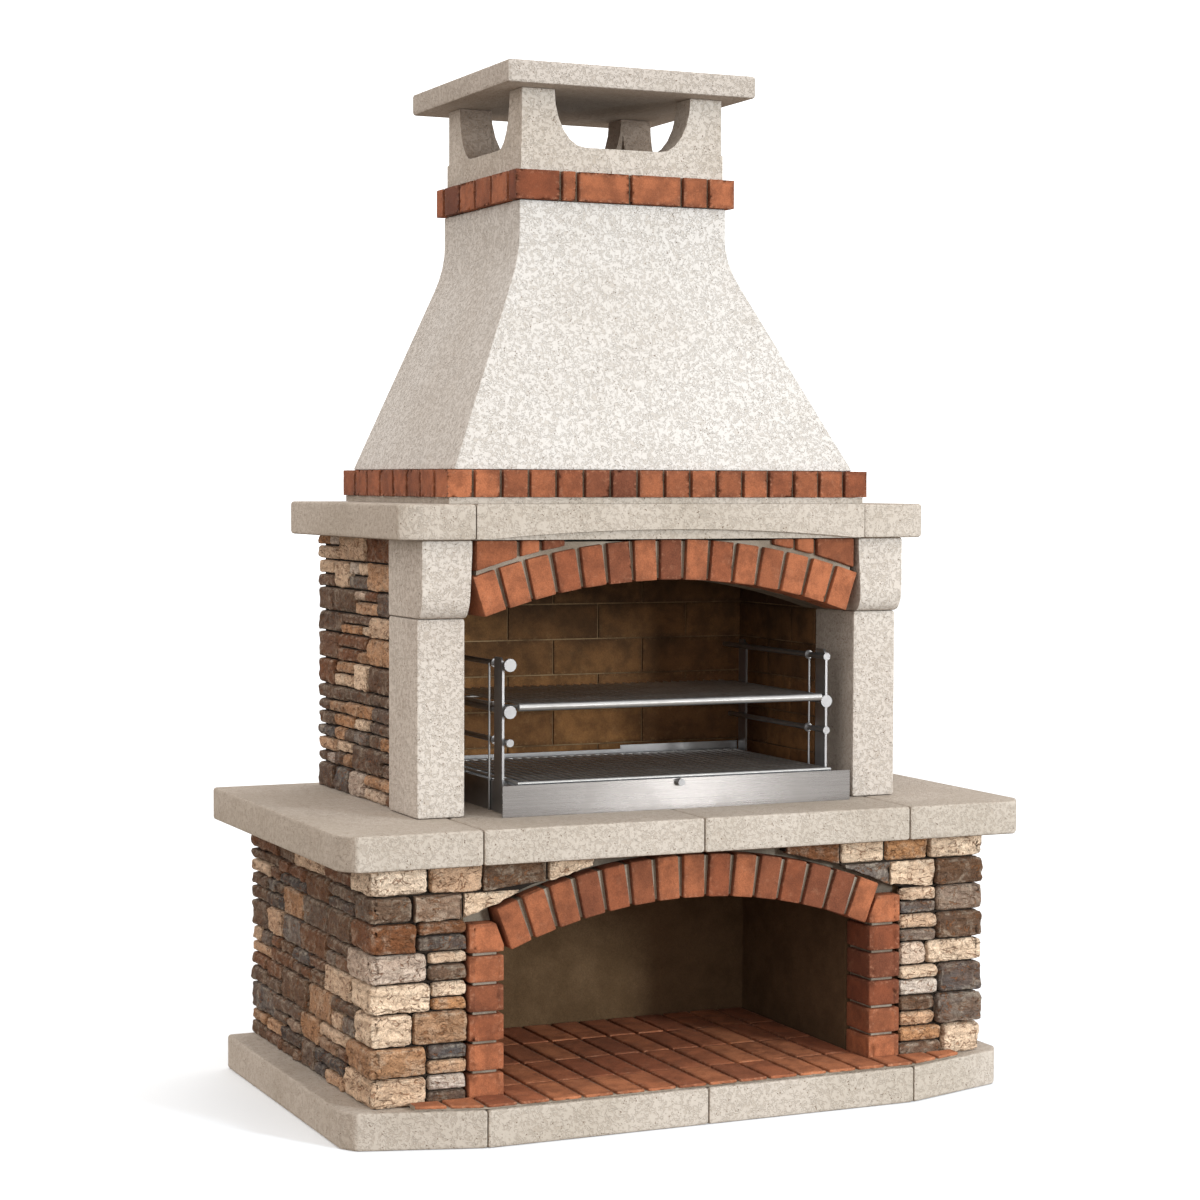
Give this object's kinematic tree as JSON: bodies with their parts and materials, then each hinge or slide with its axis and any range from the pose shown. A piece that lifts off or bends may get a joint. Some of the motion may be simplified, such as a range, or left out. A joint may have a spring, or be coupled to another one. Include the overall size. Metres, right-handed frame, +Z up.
{
  "type": "masonry garden barbecue",
  "caption": "Masonry garden barbecue: arched wood store, worktop, brick-lined firebox with steel ember tray and grill, tapered smoke hood and vented cowl.",
  "frame": {"origin": "middle of the overall box at ground level", "axes": "+Z up, +Y from the open front towards the back, +X to the viewer's right"},
  "size_m": [1.594, 0.987, 2.25],
  "materials": {
    "cast_stone": "matt cast concrete with fine pits",
    "render": "rough cement render",
    "core": "bare concrete",
    "ledge_stone": "split natural stone",
    "red_brick": "matt fired clay",
    "firebrick": "matt fired clay",
    "steel": "brushed"
  },
  "bodies": {
    "masonry": {"base_slab_left": "cast_stone", "base_slab_mid_left": "cast_stone", "base_slab_mid_right": "cast_stone", "base_slab_right": "cast_stone", "brick_pier_left": "red_brick", "brick_pier_right": "red_brick", "cap_slab": "cast_stone", "column_left": "cast_stone", "column_right": "cast_stone", "corbel_left": "cast_stone", "corbel_right": "cast_stone", "cowl": "cast_stone", "firebrick_back": "firebrick", "firebrick_left": "firebrick", "firebrick_right": "firebrick", "floor_bricks": "red_brick", "hood": "cast_stone", "hood_base": "cast_stone", "hood_trim_bricks": "red_brick", "lower_arch_bricks": "red_brick", "lower_back_wall": "render", "lower_lintel": "core", "lower_side_wall_left": "render", "lower_side_wall_right": "render", "lower_stones_left": "ledge_stone", "lower_stones_right": "ledge_stone", "mantle_centre": "cast_stone", "mantle_left": "cast_stone", "mantle_right": "cast_stone", "neck_trim_bricks": "red_brick", "upper_arch_bricks": "red_brick", "upper_back_wall": "render", "upper_lintel": "core", "upper_side_wall_left": "core", "upper_side_wall_right": "core", "upper_stones_left": "ledge_stone", "upper_stones_right": "ledge_stone", "worktop_left": "cast_stone", "worktop_mid_left": "cast_stone", "worktop_mid_right": "cast_stone", "worktop_right": "cast_stone"},
    "grill_stand": {"ember_tray": "steel", "rail_low_left": "steel", "rail_low_right": "steel", "rail_middle_left": "steel", "rail_middle_right": "steel", "rail_top_left": "steel", "rail_top_right": "steel", "tie_rod_left": "steel", "tie_rod_right": "steel", "tray_back_rim": "steel", "tray_catch": "steel", "tray_fascia": "steel", "upright_back_left": "steel", "upright_back_right": "steel", "upright_front_left": "steel", "upright_front_right": "steel"},
    "lower_grate": {"charcoal_grate": "steel"},
    "upper_grid": {"cooking_grid": "steel"}
  },
  "joints": [
    {"name": "grill_stand_slide", "type": "slide", "parent": "masonry", "child": "grill_stand", "axis": [0, -1, 0], "range_m": [-0.04, 0.13]},
    {"name": "charcoal_grate_lift", "type": "slide", "parent": "grill_stand", "child": "lower_grate", "axis": [0, 0, 1], "range_m": [0, 0.05]},
    {"name": "cooking_grid_lift", "type": "slide", "parent": "grill_stand", "child": "upper_grid", "axis": [0, 0, 1], "range_m": [0, 0.07]}
  ]
}
